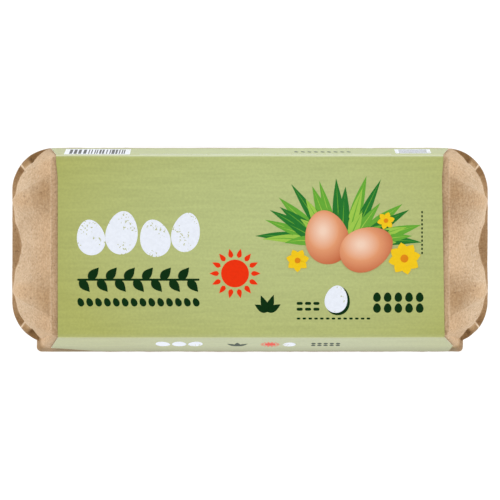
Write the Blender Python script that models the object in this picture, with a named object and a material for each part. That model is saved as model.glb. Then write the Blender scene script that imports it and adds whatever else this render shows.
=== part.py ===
"""A shut carton of moulded pulp for ten eggs in two rows of five, with a printed paper label over its lid.

The carton is one moulding, lid, hinge and tray together, so it is one solid; the label is a second one.
Lengths are in millimetres up to the last step, where MM turns them into metres. +X runs along the carton,
-Y is its front, +Z is up, and it stands on the floor at z = 0.
"""

import math

import bmesh
import bpy

MM = 0.001

# Driving sizes of the carton, in plan
FLANGE_LENGTH = 250.0
FLANGE_WIDTH = 103.0
FLANGE_CORNER = 22.2
TOP_LENGTH = 205.6
TOP_WIDTH = 92.8
TOP_CORNER = 3.0
APRON_LENGTH = 225.0
APRON_REACH = 55.8  # how far the front wall reaches from the flange's own middle line
APRON_CORNER = 2.5

# Levels
PANEL_Z = 67.2  # the flat panel under the label
BEAD_RISE = 1.0  # the bead that frames the panel's two ends
BEAD_WIDTH = 3.0
LEDGE_Z = 39.4  # upper side of the lid's flange
FLANGE_THICKNESS = 1.4
FLANGE_EDGE_DROP = 0.3  # the flange's upper side slopes this much towards its edge
SEAM_GAP = 0.6
SEAM_DEPTH = 3.0
HINGE_DEPTH = 0.5  # the same groove is only a shallow crease along the hinge at the back
APRON_BOTTOM_Z = 33.6
APRON_THICKNESS = 1.6
APRON_CHAMFER = 0.6
WALL_TOP_Z = PANEL_Z - 1.0
WALL_TOP_OUT = 0.1  # the front wall's upper edge stands just outside the lid's top
WALL_INSIDE = 42.8  # the front wall's block starts here, inside the lid and the tray
JOIN_Z = 31.0  # the upper body ends here, inside the tray

# Shape of the lid's two ends: a rounded bulge over each end egg, a recess between them and one at each corner
BULGE_AT = 23.7  # along the flange's edge, from the middle of the end
CREASE_AT = 25.4  # the crease that parts the bulge from its corner facet starts here
CREASE_POWER = 4.5  # how sharply the corner facet falls away from the crease
EGG_POWER = 2.3  # how squarely a bulge rounds over, 2 being an ellipse
ROUND_FROM = 8.0  # the flat middle of the end starts to round over here
MIDDLE_RECESS = 6.5
SHOULDER_LOW = 1.5
SHOULDER_RISE = 13.0
SHOULDER_POWER = 0.8
WALL_DRAFT = 0.09
LEDGE_FOOT_RISE = 0.5  # the recess's wall meets the ledge in a small fillet
LEDGE_FOOT_SHARE = 0.35
RIB_FROM_DEG = 35.0
RIB_TO_DEG = 51.0
RIB_EDGE_DEG = 1.0
RIB_RISE = 4.0  # a low block in each corner recess
RIB_OUTER_SHARE = 0.6
CREST_IN = 0.45  # the bead's crest, inwards from its outer edge
CREST_DROP = 0.5
SIDE_DROP = 0.4  # the top's long edges lie this much lower, for the label's fold

# The tray's ten cups
ROWS_Y = 23.8
PITCH_X = 47.5
CUPS_PER_ROW = 5
FOOT_RADIUS = 13.6
CUP_FLARE = 3.2  # quick widening just above the foot
CUP_FLARE_HEIGHT = 3.0
CUP_TAPER = 0.205  # steady widening per mm of height
CUP_WIDTH_SHARE = 0.91  # a cup is a little narrower across the carton than along it
CUP_SQUARENESS = 2.7
CUP_TOP_Z = 35.0
WEB_Z = 26.0  # underside of the webs that join the cups
CUP_LEVELS = (CUP_TOP_Z, WEB_Z, 14.0, 7.0, 3.0, 1.0, 0.0)
TRAY_TOP_Z = 36.6  # inside the tray's flange
TRAY_LENGTH = 239.0
TRAY_WIDTH = 92.6
TRAY_CORNER = 17.0
TRAY_DRAFT = 0.22
TRAY_INSET = 2.0  # the lid's block ends this far inside the tray
CONE_RADIUS = 9.0
CONE_TIP_RADIUS = 4.0
CONE_DEPTH = 6.5

# The label
LABEL_GAP = 0.3
LABEL_THICKNESS = 0.4
LABEL_TOP_LENGTH = 198.8
LABEL_FRONT_LENGTH = 213.0
LABEL_BACK_LENGTH = 208.0
LABEL_FRONT_END_Z = 38.0
LABEL_BACK_END_Z = 45.5
FOLD_RADIUS = 1.6
FOLD_OUT = 0.15  # keeps the fold clear of the lid's long edges

# How finely the faceted solids are cut
END_STEPS = 11
CREASE_STEPS = 2
CORNER_STEPS = (8, 1, 3, 1, 7)  # up to the rib, its flank, the rib, its other flank, and on to the side
SIDE_STEPS = 4
FACE_STEPS = 7
CUP_SIDES = 28
CORNER_SIDES = 6
FOLD_STEPS = 3

# The box round the whole is centred on the origin, so the flange sits a little behind it
FLANGE_MIDDLE_Y = (APRON_REACH - FLANGE_WIDTH / 2) / 2

PULP_COLOUR = (0.52, 0.36, 0.23, 1.0)
LABEL_COLOUR = (0.45, 0.52, 0.17, 1.0)


def smooth_step(low, high, value):
    """0 before low, 1 after high, and a smooth rise between them."""
    t = min(1.0, max(0.0, (value - low) / (high - low)))
    return t * t * (3.0 - 2.0 * t)


def piecewise(stations, value):
    """Reads a value between the two nearest (at, value) stations."""
    for (a, at_a), (b, at_b) in zip(stations, stations[1:]):
        if value <= b:
            return at_a + (at_b - at_a) * (value - a) / (b - a)
    return stations[-1][1]


def inward(point, normal, distance):
    return (point[0] - normal[0] * distance, point[1] - normal[1] * distance)


def between(a, b, share):
    return tuple(u + (v - u) * share for u, v in zip(a, b))


def rounded_quarter(length, width, corner, along):
    """A point and outward normal on a quarter of a rounded rectangle, by the distance along its edge.

    The distance is 0 at the middle of the +X end and grows through the corner to the middle of the +Y side.
    """
    end = width / 2 - corner
    arc = corner * math.pi / 2
    if along <= end:
        return (length / 2, along), (1.0, 0.0)
    if along <= end + arc:
        angle = (along - end) / corner
        normal = (math.cos(angle), math.sin(angle))
        return (length / 2 - corner * (1 - normal[0]), end + corner * normal[1]), normal
    return (length / 2 - corner - (along - end - arc), width / 2), (0.0, 1.0)


def quarter_length(length, width, corner):
    return (length + width) / 2 - 2 * corner + corner * math.pi / 2


FLANGE_END = FLANGE_WIDTH / 2 - FLANGE_CORNER
FLANGE_ARC_END = FLANGE_END + FLANGE_CORNER * math.pi / 2
FLANGE_QUARTER = quarter_length(FLANGE_LENGTH, FLANGE_WIDTH, FLANGE_CORNER)
TOP_END = TOP_WIDTH / 2 - TOP_CORNER
TOP_ARC_END = TOP_END + TOP_CORNER * math.pi / 2
TOP_QUARTER = quarter_length(TOP_LENGTH, TOP_WIDTH, TOP_CORNER)
INNER_LENGTH = TRAY_LENGTH - 2 * TRAY_INSET
INNER_WIDTH = TRAY_WIDTH - 2 * TRAY_INSET
INNER_QUARTER = quarter_length(INNER_LENGTH, INNER_WIDTH, TRAY_CORNER)

# Which point of the top's edge each point of the flange's edge is joined to.
# The lines gather at the bulge's tip.
CORNER_MIDDLE = FLANGE_END + FLANGE_CORNER * math.pi / 4
TOP_FOR_FLANGE = [
    (0.0, 0.0),
    (18.5, 15.5),
    (BULGE_AT, 26.0),
    (CREASE_AT, 36.0),
    (CORNER_MIDDLE, TOP_END + 1.4),
    (FLANGE_ARC_END, TOP_ARC_END + 0.8),
    (FLANGE_QUARTER, TOP_QUARTER),
]

# How far the foot of the lid's sloping end stands in from the flange's edge, by the distance along that edge
END_INSETS = [
    (0.0, 6.5),
    (4.0, 5.7),
    (8.8, 4.2),
    (12.0, 2.5),
    (18.0, 1.7),
    (22.4, 0.9),
    (BULGE_AT, 0.3),
    (26.2, 2.1),
    (30.0, 3.1),
    (37.0, 3.9),
    (44.8, 4.8),
    (49.3, 5.0),
    (51.0, 4.5),
    (53.0, 3.7),
    (55.5, 2.7),
    (58.0, 1.6),
    (60.5, 0.6),
    (FLANGE_ARC_END, 0.0),
]


def roundness(along):
    """1 where the end leaves the top level and rounds over the egg, 0 where it is a straight slope."""
    if along <= CREASE_AT:
        return smooth_step(ROUND_FROM, BULGE_AT, along)
    return max(0.0, 1 - (along - CREASE_AT) / (CORNER_MIDDLE - CREASE_AT)) ** CREASE_POWER


def end_face(foot, shoulder, rounded, steps):
    """Points down the end's face: a straight slope where rounded is 0, curved over the egg where it is 1."""
    points = []
    for step in range(steps + 1):
        share = math.sin(step / steps * math.pi / 2)
        egg_drop = 1 - (1 - min(1.0, share**EGG_POWER)) ** (1 / EGG_POWER)
        drop = share + (egg_drop - share) * rounded
        plan = between(foot[:2], shoulder[:2], share)
        points.append((*plan, foot[2] + (shoulder[2] - foot[2]) * drop))
    return points


def seam_depth(along):
    """The open seam between the two flanges, which shrinks to a crease along the hinge."""
    closing = smooth_step(FLANGE_ARC_END - 12.0, FLANGE_ARC_END - 4.0, along)
    return SEAM_DEPTH + (HINGE_DEPTH - SEAM_DEPTH) * closing


def rib(along):
    """1 on the low block in each corner recess, 0 beside it."""
    angle = math.degrees((along - FLANGE_END) / FLANGE_CORNER)
    begun = smooth_step(RIB_FROM_DEG - RIB_EDGE_DEG, RIB_FROM_DEG + RIB_EDGE_DEG, angle)
    ended = smooth_step(RIB_TO_DEG - RIB_EDGE_DEG, RIB_TO_DEG + RIB_EDGE_DEG, angle)
    return begun * (1 - ended)


def top_points(along):
    """The panel's edge and the bead's crest and outer foot, for a point along the flange's edge."""
    top_along = piecewise(TOP_FOR_FLANGE, along)
    edge, normal = rounded_quarter(TOP_LENGTH, TOP_WIDTH, TOP_CORNER, top_along)
    at_end = 1 - smooth_step(TOP_END - 2.0, TOP_ARC_END + 1.0, top_along)
    crest_z = PANEL_Z + BEAD_RISE * at_end
    panel = inward(edge, normal, BEAD_WIDTH * at_end + FOLD_RADIUS * (1 - at_end))
    crest = inward(edge, normal, CREST_IN)
    side_drop = SIDE_DROP * (1 - at_end)
    return (*panel, PANEL_Z), (*crest, crest_z - side_drop / 2), (*edge, crest_z - CREST_DROP - side_drop)


def ring_station(along):
    """The points down the lid and round the two flanges at one place of the ends or the back."""
    panel, crest, foot = top_points(along)
    edge, normal = rounded_quarter(FLANGE_LENGTH, FLANGE_WIDTH, FLANGE_CORNER, along)
    inset = piecewise(END_INSETS, along)
    rise = SHOULDER_LOW + SHOULDER_RISE * min(1.0, inset / MIDDLE_RECESS) ** SHOULDER_POWER
    shoulder = (*inward(edge, normal, inset), LEDGE_Z + rise)
    points = [panel, crest] + end_face(foot, shoulder, roundness(along), FACE_STEPS)
    base_inset = max(0.0, inset - WALL_DRAFT * rise)
    block = RIB_RISE * rib(along)
    low = LEDGE_Z - FLANGE_THICKNESS
    groove = inward(edge, normal, seam_depth(along))
    inner, _ = rounded_quarter(INNER_LENGTH, INNER_WIDTH, TRAY_CORNER, along / FLANGE_QUARTER * INNER_QUARTER)
    points += [
        (*inward(edge, normal, base_inset), LEDGE_Z + LEDGE_FOOT_RISE + block),
        (*inward(edge, normal, base_inset * LEDGE_FOOT_SHARE), LEDGE_Z + RIB_OUTER_SHARE * block),
        (*edge, LEDGE_Z - FLANGE_EDGE_DROP),
        (*edge, low),
        (*groove, low),
        (*groove, low - SEAM_GAP),
        (*edge, low - SEAM_GAP),
        (*edge, low - SEAM_GAP - FLANGE_THICKNESS),
        (*inner, low - SEAM_GAP - FLANGE_THICKNESS),
        (*inner, JOIN_Z),
    ]
    return points


def spread(start, end, steps):
    return [start + (end - start) * step / steps for step in range(steps)]


def all_stations():
    """Every station round the carton, anticlockwise as seen from above, from the middle of the +X end."""
    places = spread(0.0, BULGE_AT, END_STEPS) + spread(BULGE_AT, CREASE_AT, CREASE_STEPS)
    rib_edges = (
        RIB_FROM_DEG - RIB_EDGE_DEG,
        RIB_FROM_DEG + RIB_EDGE_DEG,
        RIB_TO_DEG - RIB_EDGE_DEG,
        RIB_TO_DEG + RIB_EDGE_DEG,
    )
    rib_places = [FLANGE_END + FLANGE_CORNER * math.radians(edge) for edge in rib_edges]
    corner = [CREASE_AT, *rib_places, FLANGE_ARC_END]
    for start, end, steps in zip(corner, corner[1:], CORNER_STEPS):
        places += spread(start, end, steps)
    places += spread(FLANGE_ARC_END, FLANGE_QUARTER, SIDE_STEPS) + [FLANGE_QUARTER]
    quarter = [ring_station(along) for along in places]

    def turned(stations, sign_x, sign_y):
        return [[(x * sign_x, y * sign_y, z) for x, y, z in station] for station in stations]

    back = quarter[:-1] + turned(quarter[:0:-1], -1, 1)
    return back + turned(back, -1, -1)


def mesh_from_rings(name, rings):
    """A closed mesh from rings of equal length, listed from the top down, with a flat cap on both ends."""
    mesh = bmesh.new()
    loops = [[mesh.verts.new((x * MM, y * MM, z * MM)) for x, y, z in ring] for ring in rings]
    count = len(rings[0])
    for upper, lower in zip(loops, loops[1:]):
        for i in range(count):
            j = (i + 1) % count
            mesh.faces.new((upper[j], upper[i], lower[i], lower[j]))
    mesh.faces.new(loops[0])
    mesh.faces.new(list(reversed(loops[-1])))
    bmesh.ops.remove_doubles(mesh, verts=mesh.verts, dist=1e-6)
    bmesh.ops.recalc_face_normals(mesh, faces=mesh.faces)
    data = bpy.data.meshes.new(name)
    mesh.to_mesh(data)
    mesh.free()
    shape = bpy.data.objects.new(name, data)
    bpy.context.scene.collection.objects.link(shape)
    return shape


def shifted(ring):
    """The same ring, moved from the flange's middle line to the origin of the whole."""
    return [(x, y + FLANGE_MIDDLE_Y, z) for x, y, z in ring]


def upper_body():
    """The lid and both flanges as one block that reaches down into the tray."""
    stations = all_stations()
    rings = [shifted([station[level] for station in stations]) for level in range(len(stations[0]))]
    return mesh_from_rings("upper_body", rings)


def wall_ring(half_length, reach, corner, z):
    """The front wall's outline at one level: a strip whose two outer corners are rounded."""
    arc = [math.pi / 2 * step / CORNER_SIDES for step in range(CORNER_SIDES + 1)]
    right = []
    for angle in reversed(arc):
        x = half_length - corner * (1 - math.cos(angle))
        y = corner * (1 - math.sin(angle)) - reach
        right.append((x, y, z))
    right.append((half_length, -WALL_INSIDE, z))
    return shifted([(-x, y, z) for x, y, z in reversed(right)] + right)


def front_wall():
    """The lid's front wall, which runs down past the flange to a thin free edge."""
    low, thick, chamfer = APRON_BOTTOM_Z, APRON_THICKNESS, APRON_CHAMFER
    half, reach = APRON_LENGTH / 2, APRON_REACH
    behind = LEDGE_Z - 2 * FLANGE_THICKNESS - SEAM_GAP - 0.3
    levels = [
        (TOP_LENGTH / 2 - 2 * WALL_TOP_OUT, TOP_WIDTH / 2 + WALL_TOP_OUT, TOP_CORNER, WALL_TOP_Z),
        (half, reach, APRON_CORNER, low + chamfer),
        (half - chamfer * 2 / 3, reach - chamfer * 2 / 3, APRON_CORNER, low),
        (half - thick, reach - thick, APRON_CORNER / 2, low),
        (half - thick - 0.5, reach - thick - 0.5, APRON_CORNER / 2, behind),
    ]
    return mesh_from_rings("front_wall", [wall_ring(*level) for level in levels])


def cup_radius(z):
    return FOOT_RADIUS + CUP_FLARE * (1 - math.exp(-z / CUP_FLARE_HEIGHT)) + CUP_TAPER * z


def cup(name, centre_x, centre_y):
    """One cup's outside: a rounded square that widens upwards from a flat foot."""
    rings = []
    for z in CUP_LEVELS:
        radius = cup_radius(z)
        ring = []
        for side in range(CUP_SIDES):
            angle = 2 * math.pi * (side + 0.5) / CUP_SIDES
            across, away = math.cos(angle), math.sin(angle)
            reach = (abs(across) ** CUP_SQUARENESS + abs(away) ** CUP_SQUARENESS) ** (-1 / CUP_SQUARENESS)
            x = centre_x + radius * reach * across
            y = centre_y + radius * reach * away * CUP_WIDTH_SHARE
            ring.append((x, y, z))
        rings.append(shifted(ring))
    return mesh_from_rings(name, rings)


def rounded_ring(length, width, corner, z):
    """A full rounded rectangle with CORNER_SIDES facets in each corner."""
    ring = []
    for quarter in range(4):
        sign_x = 1 if quarter in (0, 3) else -1
        sign_y = 1 if quarter in (0, 1) else -1
        for step in range(CORNER_SIDES + 1):
            angle = math.pi / 2 * (quarter + step / CORNER_SIDES)
            x = sign_x * (length / 2 - corner) + corner * math.cos(angle)
            y = sign_y * (width / 2 - corner) + corner * math.sin(angle)
            ring.append((x, y, z))
    return shifted(ring)


def webs():
    """The block that joins the cups under the flange, with slanting sides."""
    rings = []
    for z in (TRAY_TOP_Z, WEB_Z):
        slant = 2 * TRAY_DRAFT * (TRAY_TOP_Z - z)
        rings.append(rounded_ring(TRAY_LENGTH - slant, TRAY_WIDTH - slant, TRAY_CORNER, z))
    return mesh_from_rings("webs", rings)


def cone_hollow(name, centre_x):
    """A cutter for the hollow inside one of the cones that stand between four cups."""
    rings = []
    for z, radius in ((WEB_Z + CONE_DEPTH, CONE_TIP_RADIUS), (WEB_Z - 1.0, CONE_RADIUS)):
        angles = [2 * math.pi * side / CUP_SIDES for side in range(CUP_SIDES)]
        rings.append(shifted([(centre_x + radius * math.cos(a), radius * math.sin(a), z) for a in angles]))
    return mesh_from_rings(name, rings)


def in_collection(name, objects):
    """Moves the objects into a collection of their own, for one boolean step over all of them."""
    group = bpy.data.collections.new(name)
    bpy.context.scene.collection.children.link(group)
    for obj in objects:
        for user in list(obj.users_collection):
            user.objects.unlink(obj)
        group.objects.link(obj)
    return group


def boolean(target, operation, objects, name):
    """Joins to target, or cuts from it, all the given closed shapes in one step, and removes them."""
    group = in_collection(name, objects)
    modifier = target.modifiers.new(name, "BOOLEAN")
    modifier.operation = operation
    modifier.operand_type = "COLLECTION"
    modifier.collection = group
    modifier.solver = "EXACT"
    graph = bpy.context.evaluated_depsgraph_get()
    result = bpy.data.meshes.new_from_object(target.evaluated_get(graph))
    target.modifiers.clear()
    target.data = result
    for obj in objects:
        bpy.data.objects.remove(obj)
    bpy.data.collections.remove(group)


def shade_round(shape, sharp_deg):
    shape.data.shade_smooth()
    shape.data.set_sharp_from_angle(angle=math.radians(sharp_deg))


def build_carton():
    """The pulp moulding: lid, flanges, webs and cups fused, with the cones' hollows cut from below."""
    carton = upper_body()
    carton.name = "carton"
    middle_cup = (CUPS_PER_ROW - 1) / 2
    pieces = [front_wall(), webs()]
    for row in (-1, 1):
        for place in range(CUPS_PER_ROW):
            pieces.append(cup(f"cup_{row}_{place}", (place - middle_cup) * PITCH_X, row * ROWS_Y))
    boolean(carton, "UNION", pieces, "fused")
    hollows = []
    for place in range(CUPS_PER_ROW - 1):
        hollows.append(cone_hollow(f"hollow_{place}", (place + 0.5 - middle_cup) * PITCH_X))
    boolean(carton, "DIFFERENCE", hollows, "hollowed")
    shade_round(carton, 32)
    return carton


def wall_line(front):
    """The (y, z) of the upper and lower end of the front or back wall's face, y counted outwards."""
    if front:
        return (TOP_WIDTH / 2 + WALL_TOP_OUT, WALL_TOP_Z), (APRON_REACH, APRON_BOTTOM_Z + APRON_CHAMFER)
    station = ring_station(FLANGE_QUARTER)
    return station[2][1:], station[2 + FACE_STEPS][1:]


def label_section(offset):
    """The label's line across the carton, from its back edge over the top to its front edge.

    Each entry is (y, z, half length along the carton); offset is the distance from the pulp.
    """
    line = []
    for front in (False, True):
        (upper_y, upper_z), (lower_y, lower_z) = wall_line(front)
        sign = -1 if front else 1
        end_z = LABEL_FRONT_END_Z if front else LABEL_BACK_END_Z
        end_length = LABEL_FRONT_LENGTH if front else LABEL_BACK_LENGTH
        slope = math.atan2(lower_y - upper_y, upper_z - lower_z)
        out = (math.cos(slope), math.sin(slope))
        share = (upper_z - end_z) / (upper_z - lower_z)
        end_y = upper_y + (lower_y - upper_y) * share
        bend = math.pi / 2 - slope
        half = [(sign * (end_y + out[0] * offset), end_z + out[1] * offset, end_length / 2)]
        for step in range(FOLD_STEPS + 1):
            angle = slope + bend * step / FOLD_STEPS
            radius = FOLD_RADIUS + offset
            centre_z = PANEL_Z - FOLD_RADIUS
            touch = upper_y + (lower_y - upper_y) * (upper_z - centre_z) / (upper_z - lower_z)
            centre_y = touch - FOLD_RADIUS / math.cos(slope) + FOLD_OUT
            y = centre_y + radius * math.cos(angle)
            z = centre_z + radius * math.sin(angle)
            half.append((sign * y, z, LABEL_TOP_LENGTH / 2))
        line += half if not front else list(reversed(half))
    return line


def build_label():
    """A sheet of paper that lies on the lid's top and is folded down over its front and back walls."""
    inside = label_section(LABEL_GAP)
    outside = label_section(LABEL_GAP + LABEL_THICKNESS)
    mesh = bmesh.new()

    def row(line, sign):
        return [mesh.verts.new((sign * half * MM, (y + FLANGE_MIDDLE_Y) * MM, z * MM)) for y, z, half in line]

    corners = [row(inside, -1), row(inside, 1), row(outside, 1), row(outside, -1)]
    for a, b in zip(corners, corners[1:] + corners[:1]):
        for i in range(len(inside) - 1):
            mesh.faces.new((a[i], a[i + 1], b[i + 1], b[i]))
    for i in (0, -1):
        mesh.faces.new([line[i] for line in corners])
    bmesh.ops.recalc_face_normals(mesh, faces=mesh.faces)
    data = bpy.data.meshes.new("label")
    mesh.to_mesh(data)
    mesh.free()
    label = bpy.data.objects.new("label", data)
    bpy.context.scene.collection.objects.link(label)
    shade_round(label, 35)
    return label


def surface(name, colour, roughness):
    """A plain matt finish."""
    made = bpy.data.materials.new(name)
    made.use_nodes = True
    shader = made.node_tree.nodes["Principled BSDF"]
    shader.inputs["Base Color"].default_value = colour
    shader.inputs["Roughness"].default_value = roughness
    shader.inputs["Metallic"].default_value = 0.0
    made.diffuse_color = colour
    return made


def main():
    for obj in list(bpy.data.objects):
        bpy.data.objects.remove(obj)
    build_carton().data.materials.append(surface("moulded_pulp", PULP_COLOUR, 0.95))
    build_label().data.materials.append(surface("label_paper", LABEL_COLOUR, 0.45))


main()
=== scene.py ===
"""The looks of a shut egg carton of brown moulded pulp, with a printed paper label folded over its lid.

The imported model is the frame. The pulp and the label are made again here from the same named sizes as the
solids, finer and with their own relief, and stand in for them. Lengths are in millimetres up to MM, which
makes metres.
"""

import math
import random

import bmesh
import bpy
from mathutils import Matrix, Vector, noise


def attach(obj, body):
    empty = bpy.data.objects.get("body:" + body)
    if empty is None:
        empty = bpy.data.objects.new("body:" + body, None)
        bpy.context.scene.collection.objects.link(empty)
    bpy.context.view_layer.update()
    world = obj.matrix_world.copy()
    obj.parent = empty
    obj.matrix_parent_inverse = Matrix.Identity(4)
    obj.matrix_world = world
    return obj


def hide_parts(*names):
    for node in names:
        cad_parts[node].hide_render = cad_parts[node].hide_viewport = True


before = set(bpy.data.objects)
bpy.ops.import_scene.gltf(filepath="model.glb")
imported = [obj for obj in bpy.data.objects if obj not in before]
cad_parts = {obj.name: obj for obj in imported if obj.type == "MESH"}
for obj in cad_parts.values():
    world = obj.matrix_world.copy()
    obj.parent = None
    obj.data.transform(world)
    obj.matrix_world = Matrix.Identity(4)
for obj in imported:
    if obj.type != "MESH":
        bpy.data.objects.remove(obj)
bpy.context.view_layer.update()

MM = 0.001

# The sizes of the solids, repeated
FLANGE_LENGTH = 250.0
FLANGE_WIDTH = 103.0
FLANGE_CORNER = 22.2
TOP_LENGTH = 205.6
TOP_WIDTH = 92.8
TOP_CORNER = 3.0
APRON_LENGTH = 225.0
APRON_REACH = 55.8
APRON_CORNER = 2.5
PANEL_Z = 67.2
BEAD_RISE = 1.0
BEAD_WIDTH = 3.0
CREST_IN = 0.45
CREST_DROP = 0.5
CREST_SIDE_DROP = 0.25  # along the long sides
SIDE_DROP = 0.4
LEDGE_Z = 39.4
FLANGE_THICKNESS = 1.4
FLANGE_EDGE_DROP = 0.3
SEAM_GAP = 0.6
SEAM_DEPTH = 3.0
HINGE_DEPTH = 0.5
APRON_BOTTOM_Z = 33.6
APRON_THICKNESS = 1.6
APRON_CHAMFER = 0.6
LIP_INSET = 0.5
LIP_CLEARANCE = 0.3
WALL_TOP_Z = PANEL_Z - 1.0
WALL_TOP_OUT = 0.1
WALL_INSIDE = 42.8
JOIN_Z = 31.0
BULGE_AT = 23.7
CREASE_AT = 25.4
ROUND_FROM = 8.0
CREASE_POWER = 4.5
EGG_POWER = 2.3
MIDDLE_RECESS = 6.5
SHOULDER_LOW = 1.5
SHOULDER_RISE = 13.0
SHOULDER_POWER = 0.8
WALL_DRAFT = 0.09
LEDGE_FOOT_RISE = 0.5
LEDGE_FOOT_SHARE = 0.35
RIB_FROM_DEG = 35.0
RIB_TO_DEG = 51.0
RIB_EDGE_DEG = 1.0
RIB_RISE = 4.0
RIB_OUTER_SHARE = 0.6
ROWS_Y = 23.8
PITCH_X = 47.5
CUPS_PER_ROW = 5
FOOT_RADIUS = 13.6
CUP_FLARE = 3.2
CUP_FLARE_HEIGHT = 3.0
CUP_TAPER = 0.205
CUP_WIDTH_SHARE = 0.91
CUP_SQUARENESS = 2.7
CUP_TOP_Z = 35.0
WEB_Z = 26.0
TRAY_TOP_Z = 36.6
TRAY_LENGTH = 239.0
TRAY_WIDTH = 92.6
TRAY_CORNER = 17.0
TRAY_DRAFT = 0.22
TRAY_INSET = 2.0
CONE_RADIUS = 9.0
CONE_TIP_RADIUS = 4.0
CONE_DEPTH = 6.5
LABEL_FRONT_END_Z = 38.0
LABEL_BACK_END_Z = 45.5
FOLD_RADIUS = 1.6
FOLD_OUT = 0.15
FLANGE_MIDDLE_Y = (APRON_REACH - FLANGE_WIDTH / 2) / 2

# How fine the pulp is
END_SPACING = 0.8
SIDE_SPACING = 2.0
WALL_SPACING = 1.6
WALL_STEPS = 24
FACE_STEPS = 32
CORNER_SIDES = 6
CAP_SHARE = (0.9, 0.8)  # of the panel, for the cap in its middle
EDGE_SMOOTHING = 1
TRAY_VOXEL = 1.0
TRAY_SMOOTHING = 6
CUP_SIDES = 56
CUP_LEVELS = (CUP_TOP_Z, 30.0, 25.0, 20.0, 14.0, 10.0, 7.0, 5.0, 3.0, 2.0, 1.0, 0.4, 0.0)
WEB_STEPS = 60

# The pulp's relief: the size and height of its lumps, from coarse to fine
LUMPS = (11.0, 0.16)
GRAINS = (3.1, 0.09)
FINE_GRAINS = (1.7, 0.05)

# The label
PAPER_CLEARANCE = 0.3
PAPER_THICKNESS = 0.2
PAPER_LEFT = -99.0
PAPER_RIGHT = 99.45
PAPER_SKEW = -0.0171  # the right edge isn't quite square to the folds
SKEW_REACH = 46.0  # up to this far from the middle line
PAPER_FRONT_FLARE = 5.2
PAPER_BACK_FLARE = 4.2
PAPER_RIGHT_FLARE = [(0.0, 0.0), (0.62, 5.7), (1.0, 4.3)]  # its front right corner is cut off
BACK_WIDENING = 0.9  # on its way to the back fold
WIDENS_FROM = 34.0
WIDENS_TO = 45.0
SLANT_RISE = 6.4
SLANT_FROM = -105.5
SLANT_TO = -76.0
PAPER_STEPS = 72
BARE = 1  # the label's second material
SHARP_DEG = 50
INK_STEP = 0.03
INK_SPAN = 6.0  # the longest edge within an inlay
PICTURE_X = 47.0

# Where the photograph was taken from
CAMERA_HEIGHT = 1350.0  # above the top of the lid
FRAME_PIXELS = 500
PIXELS_PER_MM = 475.5 / FLANGE_LENGTH  # at the height of the flange
SENSOR = 36.0
FLANGE_PIXEL_Y = 246.0  # the row of pixels that the flange's middle line falls on

# The studio, in metres
LIGHT_DISTANCE = 1.3
SOFTBOX_HEIGHT = 0.32
SOFTBOX_DEPTH = 0.45
SIDE_WIDTH = 1.5
BACK_WIDTH = 1.7
SIDE_RADIANCE = 3.8
BACK_RADIANCE = 0.5
FLOOR_GLOW = 0.86
FLOOR_REACH = 4.0
FLOOR_DROP = 0.0002
SKY_STRENGTH = 1.1875
# The sine of the elevation, and how bright the sky is there
SKY_BY_HEIGHT = ((0.0, 0.35), (0.35, 0.5), (0.6, 1.0), (0.82, 1.0), (0.93, 0.2), (1.0, 0.12))


def smooth_step(low, high, value):
    """0 before low, 1 after high, and a smooth rise between them."""
    t = min(1.0, max(0.0, (value - low) / (high - low)))
    return t * t * (3.0 - 2.0 * t)


def piecewise(stations, value):
    """Reads a value between the two nearest (at, value) stations."""
    for (a, at_a), (b, at_b) in zip(stations, stations[1:]):
        if value <= b:
            return at_a + (at_b - at_a) * (value - a) / (b - a)
    return stations[-1][1]


def between(a, b, share):
    return tuple(u + (v - u) * share for u, v in zip(a, b))


def inward(point, normal, distance):
    return (point[0] - normal[0] * distance, point[1] - normal[1] * distance)


def rounded_quarter(length, width, corner, along):
    """A point and outward normal on a quarter of a rounded rectangle, by the distance along its edge."""
    end = width / 2 - corner
    arc = corner * math.pi / 2
    if along <= end:
        return (length / 2, along), (1.0, 0.0)
    if along <= end + arc:
        angle = (along - end) / corner
        normal = (math.cos(angle), math.sin(angle))
        return (length / 2 - corner * (1 - normal[0]), end + corner * normal[1]), normal
    return (length / 2 - corner - (along - end - arc), width / 2), (0.0, 1.0)


def quarter_length(length, width, corner):
    return (length + width) / 2 - 2 * corner + corner * math.pi / 2


FLANGE_END = FLANGE_WIDTH / 2 - FLANGE_CORNER
FLANGE_ARC_END = FLANGE_END + FLANGE_CORNER * math.pi / 2
FLANGE_QUARTER = quarter_length(FLANGE_LENGTH, FLANGE_WIDTH, FLANGE_CORNER)
TOP_END = TOP_WIDTH / 2 - TOP_CORNER
TOP_ARC_END = TOP_END + TOP_CORNER * math.pi / 2
TOP_QUARTER = quarter_length(TOP_LENGTH, TOP_WIDTH, TOP_CORNER)
INNER_LENGTH = TRAY_LENGTH - 2 * TRAY_INSET
INNER_WIDTH = TRAY_WIDTH - 2 * TRAY_INSET
INNER_QUARTER = quarter_length(INNER_LENGTH, INNER_WIDTH, TRAY_CORNER)
CORNER_MIDDLE = FLANGE_END + FLANGE_CORNER * math.pi / 4
TOP_FOR_FLANGE = [
    (0.0, 0.0), (18.5, 15.5), (BULGE_AT, 26.0), (CREASE_AT, 36.0),
    (CORNER_MIDDLE, TOP_END + 1.4),
    (FLANGE_ARC_END, TOP_ARC_END + 0.8),
    (FLANGE_QUARTER, TOP_QUARTER),
]

# How far the foot of the lid's sloping end stands in from the flange's edge, by the distance along that edge
END_INSETS = [
    (0.0, 6.5), (4.0, 5.7), (8.8, 4.2), (12.0, 2.5), (18.0, 1.7), (22.4, 0.9),
    (BULGE_AT, 0.3), (26.2, 2.1), (30.0, 3.1), (37.0, 3.9), (44.8, 4.8), (49.3, 5.0),
    (51.0, 4.5), (53.0, 3.7), (55.5, 2.7), (58.0, 1.6), (60.5, 0.6), (FLANGE_ARC_END, 0.0),
]


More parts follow.
